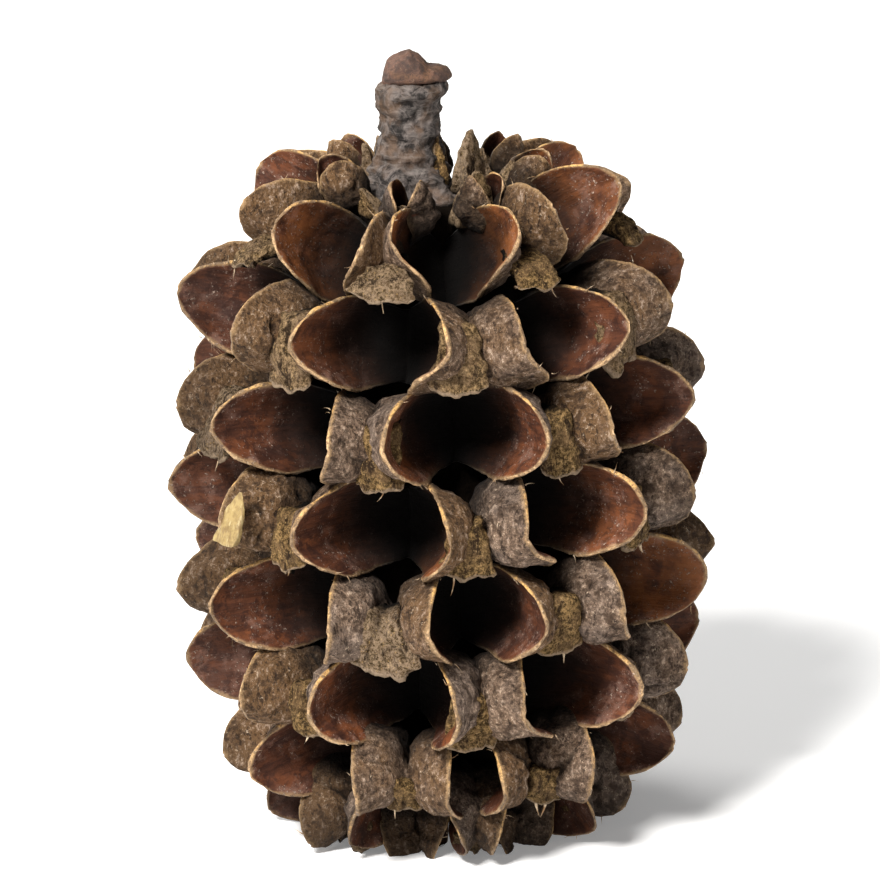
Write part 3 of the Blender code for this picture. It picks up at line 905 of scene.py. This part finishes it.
class CONE_OT_spikes(bpy.types.Operator):
    """Hangs a bleached point under every second bract or so"""

    bl_idname = "cone.spikes"
    bl_label = "Bract points"

    def execute(self, context):
        blank = add_thread_blank(8, 2)
        dice = random.Random(SEED + 3)
        parts = []
        for cup in grown_cups():
            if not 1 < cup.number < 9:
                continue
            for _ in range(dice.choice((0, 1, 1, 2))):
                foot = (
                    cup.foot + cup.outwards * (cup.tip_distance - 0.9 * cup.size) + cup.upwards * 1.68 * cup.size
                    + cup.sideways * dice.uniform(-0.45, 0.45)
                )
                way = np.array((0, 0, -dice.uniform(0.25, 0.75))) + cup.radial * dice.uniform(-0.05, 0.2)
                bend = cup.sideways * dice.uniform(-0.3, 0.3)
                parts.append(grow_thread(blank, f"spike_{len(parts)}", foot, way, bend, dice.uniform(0.03, 0.075)))
        spikes = joined(parts, "bract_points")
        roughen(spikes, 0.25, 0.06)
        rest_on_floor(spikes)
        keep(spikes, "cone", [fibre_finish()])
        remove(blank)
        return {"FINISHED"}


class CONE_OT_threads(bpy.types.Operator):
    """Frays fine fibres from the rims of the valves"""

    bl_idname = "cone.threads"
    bl_label = "Frayed fibres"

    def execute(self, context):
        sizes = context.scene.cone_cups
        blank = add_thread_blank(4, 2)
        dice = random.Random(SEED + 4)
        parts = []
        for cup in grown_cups():
            if not 0 < cup.number < 9:
                continue
            for _ in range(7):
                hand = dice.choice((-1, 1))
                edge = dice.choice((1, 1, -1))
                x = hand * dice.uniform(0.45, 0.97)
                foot = valve_points(sizes, cup, np.array([x]), np.array([float(edge)]))[0][0] / MM
                way = cup.upwards * edge * dice.uniform(0.02, 0.22) + cup.outwards * dice.uniform(-0.05, 0.14)
                way = way + cup.sideways * hand * dice.uniform(-0.25, 0.18)
                bend = np.array([dice.uniform(-0.18, 0.18) for _ in range(3)])
                parts.append(grow_thread(blank, f"thread_{len(parts)}", foot, way, bend, dice.uniform(0.012, 0.026)))
        threads = joined(parts, "rim_fibres")
        rest_on_floor(threads)
        keep(threads, "cone", [fibre_finish()])
        remove(blank)
        return {"FINISHED"}


def grow_scale(blank, name, place, seed, thickness=0.34):
    """A pointed scale, leaning outwards, that stands at a place such as those in CROWN_SCALES."""
    obj = copy_of(blank, name)
    angle, radius, foot, height, width, lean = place
    angle, lean = math.radians(angle), math.radians(lean)
    x, y, z = points_of(blank).T
    rise = (z + 1) / 2
    half = width / 2 * (1 - 0.85 * rise ** (1.6 + seed % 3)) * (1 + 0.12 * wavy(z * 2, seed))
    thick = thickness * (1.15 - rise)
    side = x * half * math.copysign(1, math.cos(lean))
    out = radius + rise * height * math.sin(lean) - y * thick - 0.35 * (x * half) ** 2 / width
    up = foot + rise * height * math.cos(lean)
    sideways, outwards = directions(angle)
    points = np.multiply.outer(side, sideways) + np.multiply.outer(out, outwards)
    points[:, 2] = up
    move_points(obj, points * MM)
    # depth is painted shade, darker towards the scale's foot.
    store(
        obj, edge=np.clip(np.maximum(np.abs(x) ** 6, rise**5), 0, 1) * 0.7,
        depth=(1 - smooth(rise, 0, 0.25)) * 0.8, tone=seed * 0.37 % 1,
    )
    return obj


class CONE_OT_scales(bpy.types.Operator):
    """Sets small barren scales round the foot of the stalk and over the cone's lower end"""

    bl_idname = "cone.scales"
    bl_label = "Barren scales"

    def execute(self, context):
        wool = wool_finish(context.scene.cone_colours)
        blank = add_block_blank(5)
        crown = [grow_scale(blank, f"scale_{index}", place, index) for index, place in enumerate(CROWN_SCALES)]
        lower = [
            grow_scale(blank, f"lower_{count}_{turn}", ((turn + radius) * 360 / count, radius, *rest), count + turn)
            for count, radius, *rest in LOWER_SCALES
            for turn in range(count)
        ]
        for scales in (joined(crown, "crown_scales"), joined(lower, "lower_scales")):
            round_off(scales)
            roughen(scales, 0.5, 0.22, layers=3)
            roughen(scales, 0.2, 0.10)
            rest_on_floor(scales)
            keep(scales, "cone", [wool])
        remove(blank)
        return {"FINISHED"}


class CONE_OT_wing(bpy.types.Operator):
    """Leaves one papery seed wing caught between two cups"""

    bl_idname = "cone.wing"
    bl_label = "Seed wing"

    def execute(self, context):
        blank = add_block_blank(7)
        wing = grow_scale(blank, "seed_wing", SEED_WING, 1, WING_THICKNESS)
        points = points_of(wing)
        points[:, 0] += WING_SLANT * (points[:, 2] - SEED_WING[2] * MM)
        move_points(wing, points)
        round_off(wing)
        roughen(wing, 0.7, 0.16)
        keep(wing, "cone", [wing_finish()])
        remove(blank)
        return {"FINISHED"}


class CONE_OT_core(bpy.types.Operator):
    """Fills the middle of the cone behind the cups"""

    bl_idname = "cone.core"
    bl_label = "Core"

    def execute(self, context):
        deselect()
        bpy.ops.mesh.primitive_uv_sphere_add(segments=64, ring_count=48, radius=1)
        core = context.object
        core.name = "core"
        x, y, z = points_of(core).T
        height = CORE_MIDDLE + z * np.where(z > 0, CORE_UP, CORE_DOWN)
        barrel = CORE_RADIUS * np.power(np.maximum(1 - z**2, 1e-9), -0.22)
        neck = CORE_NECK / np.sqrt(np.maximum(1 - z**2, 0.02))
        reach = np.where(z > 0, np.maximum(barrel * (1 - 0.25 * z**2), neck), barrel)
        points = np.stack([x * reach, y * reach, height], axis=1) * MM
        move_points(core, points)
        roughen(core, 1.2, 0.5, layers=3)
        keep(core, "cone", [core_finish()])
        return {"FINISHED"}


class CONE_OT_stalk(bpy.types.Operator):
    """Turns the short stalk, with its ring scars and its broken end"""

    bl_idname = "cone.stalk"
    bl_label = "Stalk"

    def execute(self, context):
        deselect()
        bpy.ops.mesh.primitive_cylinder_add(vertices=96, radius=1, depth=2, end_fill_type="TRIFAN")
        stalk = context.object
        stalk.name = "stalk_bark"
        bpy.ops.object.mode_set(mode="EDIT")
        bpy.ops.mesh.select_mode(type="EDGE")
        bpy.ops.mesh.select_all(action="DESELECT")
        bpy.ops.object.mode_set(mode="OBJECT")
        for edge in stalk.data.edges:
            first, second = (stalk.data.vertices[i].co for i in edge.vertices)
            edge.select = abs(first.z - second.z) > 1
        bpy.ops.object.mode_set(mode="EDIT")
        bpy.ops.mesh.subdivide(number_cuts=60)
        bpy.ops.mesh.select_mode(type="VERT")
        bpy.ops.object.mode_set(mode="OBJECT")
        x, y, z = points_of(stalk).T
        rings = np.array(STALK_RINGS)
        height = rings[0, 1] + (z + 1) / 2 * (rings[-1, 1] - rings[0, 1])
        middle = np.interp(height, rings[:, 1], rings[:, 0])
        radius = np.interp(height, rings[:, 1], rings[:, 2])
        turn = np.arctan2(y, x)
        folds = 0.22 * (1 - smooth(height, 21.5, 23.4)) * np.sin(turn * 5 + height * 0.8)
        radius = radius * (1 + 0.05 * wavy(height * 2.6, 3) + 0.05 * np.sin(height * 9.0 + x) + folds)
        points = np.stack([middle + x * radius, y * radius, height], axis=1) * MM
        move_points(stalk, points)
        roughen(stalk, 0.9, 0.25, layers=3)
        roughen(stalk, 0.28, 0.32, layers=4)
        keep(stalk, "stalk", [stalk_finish(context.scene.cone_colours)])

        deselect()
        bpy.ops.mesh.primitive_uv_sphere_add(segments=64, ring_count=40, radius=1)
        end = context.object
        end.name = "stalk_break"
        x, y, z = points_of(end).T
        outline = np.array(BREAK_OUTLINE)
        left, right = outline[0, 0], outline[-1, 0]
        side = (left + right) / 2 + x * (right - left) / 2
        under = np.interp(side, outline[:, 0], outline[:, 1])
        top = np.interp(side, outline[:, 0], outline[:, 2])
        rise = 0.5 + z / 2 / np.maximum(np.sqrt(1 - x**2 * 0.98), 0.2)
        height = np.clip(under + (top - under) * rise, under - 0.1, top)
        move_points(end, np.stack([side, y * 0.95, height], axis=1) * MM)
        roughen(end, 0.7, 0.22, layers=3)
        roughen(end, 0.25, 0.10)
        keep(end, "stalk", [break_finish()])
        return {"FINISHED"}


class CONE_OT_stage(bpy.types.Operator):
    """Sets up the pale floor, the soft light and the camera"""

    bl_idname = "cone.stage"
    bl_label = "Stage"

    def execute(self, context):
        settings = context.scene.cone_stage
        deselect()
        bpy.ops.mesh.primitive_plane_add(size=4, location=(0, 0, 0))
        floor = context.object
        floor.name = "floor"
        finish = Finish("pale floor", times(settings.floor, 0.99))
        finish.coat(finish.noise(30, detail=2), tuple(settings.floor))
        floor.data.materials.append(
            finish.wear(Roughness=0.9, Emission_Color=(1, 1, 1, 1), Emission_Strength=0.2)
        )

        for name, (place, size, share, colour) in LIGHTS.items():
            self.add_light(name, place, size, settings.key * share, colour)

        world = bpy.data.worlds.new("studio")
        context.scene.world = world
        world.use_nodes = True
        background = world.node_tree.nodes["Background"]
        background.inputs["Color"].default_value = (1, 1, 1, 1)
        background.inputs["Strength"].default_value = 0.15

        self.add_camera(context)
        context.scene.view_settings.view_transform = "Standard"
        return {"FINISHED"}

    def add_light(self, name, place, size, power, colour):
        deselect()
        bpy.ops.object.light_add(type="AREA", location=place)
        light = bpy.context.object
        light.name = name
        light.data.size = size
        light.data.energy = power
        light.data.color = colour
        aim = Vector(LIGHTS_AIM) - Vector(place)
        light.rotation_euler = aim.to_track_quat("-Z", "Y").to_euler()

    def add_camera(self, context):
        """Looks a little down at the cone's front, from far away, and leans with the photographed cone."""
        deselect()
        bpy.ops.object.camera_add()
        camera = context.object
        back = Vector((0, -math.cos(CAMERA_TILT), math.sin(CAMERA_TILT)))
        right = Vector((1, 0, 0))
        up = Vector((0, math.sin(CAMERA_TILT), math.cos(CAMERA_TILT)))
        across = right * math.cos(CAMERA_ROLL) - up * math.sin(CAMERA_ROLL)
        upright = right * math.sin(CAMERA_ROLL) + up * math.cos(CAMERA_ROLL)
        place = (Vector(CAMERA_AIM) + back * CAMERA_DISTANCE) * MM
        camera.matrix_world = Matrix.Translation(place) @ Matrix((across, upright, back)).transposed().to_4x4()
        camera.data.sensor_width = SENSOR_WIDTH
        camera.data.lens = SENSOR_WIDTH * CAMERA_DISTANCE / (PHOTO_WIDTH / PIXELS_IN_MM)
        camera.data.clip_start = 0.01
        camera.data.clip_end = 10
        context.scene.camera = camera


class CONE_PT_panel(bpy.types.Panel):
    bl_label = "Casuarina cone"
    bl_idname = "CONE_PT_panel"
    bl_space_type = "VIEW_3D"
    bl_region_type = "UI"
    bl_category = "Cone"

    def draw(self, context):
        layout = self.layout
        for settings in (context.scene.cone_cups, context.scene.cone_colours, context.scene.cone_stage):
            box = layout.box()
            for name in settings.__annotations__:
                box.prop(settings, name)
        for operator in OPERATORS:
            layout.operator(operator.bl_idname)


OPERATORS = (
    CONE_OT_core, CONE_OT_valves, CONE_OT_bracts, CONE_OT_spikes, CONE_OT_threads, CONE_OT_scales, CONE_OT_wing,
    CONE_OT_stalk, CONE_OT_stage,
)
CLASSES = (CupSizes, ConeColours, StageSettings, *OPERATORS, CONE_PT_panel)


def register():
    for cls in CLASSES:
        bpy.utils.register_class(cls)
    bpy.types.Scene.cone_cups = bpy.props.PointerProperty(type=CupSizes)
    bpy.types.Scene.cone_colours = bpy.props.PointerProperty(type=ConeColours)
    bpy.types.Scene.cone_stage = bpy.props.PointerProperty(type=StageSettings)


def unregister():
    del bpy.types.Scene.cone_stage
    del bpy.types.Scene.cone_colours
    del bpy.types.Scene.cone_cups
    for cls in reversed(CLASSES):
        bpy.utils.unregister_class(cls)


def main():
    register()
    bpy.ops.cone.core()
    bpy.ops.cone.valves()
    bpy.ops.cone.bracts()
    bpy.ops.cone.spikes()
    bpy.ops.cone.threads()
    bpy.ops.cone.scales()
    bpy.ops.cone.wing()
    bpy.ops.cone.stalk()
    bpy.ops.cone.stage()


if __name__ == "__main__":
    main()
